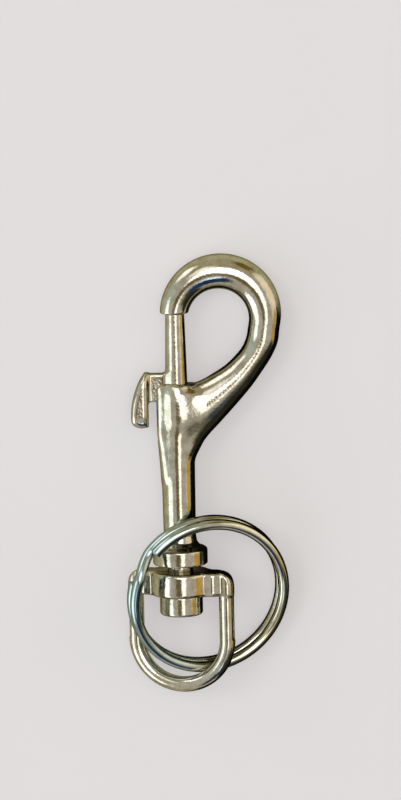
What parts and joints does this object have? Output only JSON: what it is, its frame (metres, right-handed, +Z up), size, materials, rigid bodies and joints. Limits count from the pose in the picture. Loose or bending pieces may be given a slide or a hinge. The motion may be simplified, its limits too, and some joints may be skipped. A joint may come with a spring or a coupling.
{
  "type": "snap hook",
  "caption": "Swivel-eye bolt snap with a sprung thumb bolt that opens the hook's loop, and a split key ring through the eye.",
  "frame": {"origin": "middle of the snap's box, at the surface that it lies on", "axes": "+Y along the barrel towards the hook, +X towards the side that the loop bulges to, +Z up from the surface; the barrel slopes 2.7 degrees down towards the hook"},
  "size_m": [0.0294, 0.08, 0.0129],
  "materials": {
    "nickel": "bright nickel plating over cast zinc",
    "nickel_bolt": "bright nickel plating over cast zinc",
    "nickel_ring": "bright nickel plating over steel wire",
    "spring_steel": "plain drawn spring wire"
  },
  "bodies": {
    "body": {"hook_body": "nickel", "bolt_spring": "spring_steel"},
    "thumb_bolt": {"bolt": "nickel_bolt"},
    "eye": {"swivel_eye": "nickel"},
    "ring": {"split_ring": "nickel_ring"}
  },
  "joints": [
    {"name": "bolt_slide", "type": "slide", "parent": "body", "child": "thumb_bolt", "axis": [0, -0.9989, 0.0475], "range_m": [0, 0.0066], "stiffness_N_per_m": 350, "springref_m": -0.004, "deforming": ["bolt_spring"]},
    {"name": "eye_swivel", "type": "hinge", "parent": "body", "child": "eye", "pos_m": [-0.0049, -0.01974, 0.0055], "axis": [0, 0.9989, -0.0475], "continuous": true},
    {"name": "ring_swing", "type": "hinge", "parent": "eye", "child": "ring", "pos_m": [-0.00747, -0.03179, 0.00557], "axis": [0.8435, -0.1382, -0.519], "range_deg": [0, 150]}
  ]
}
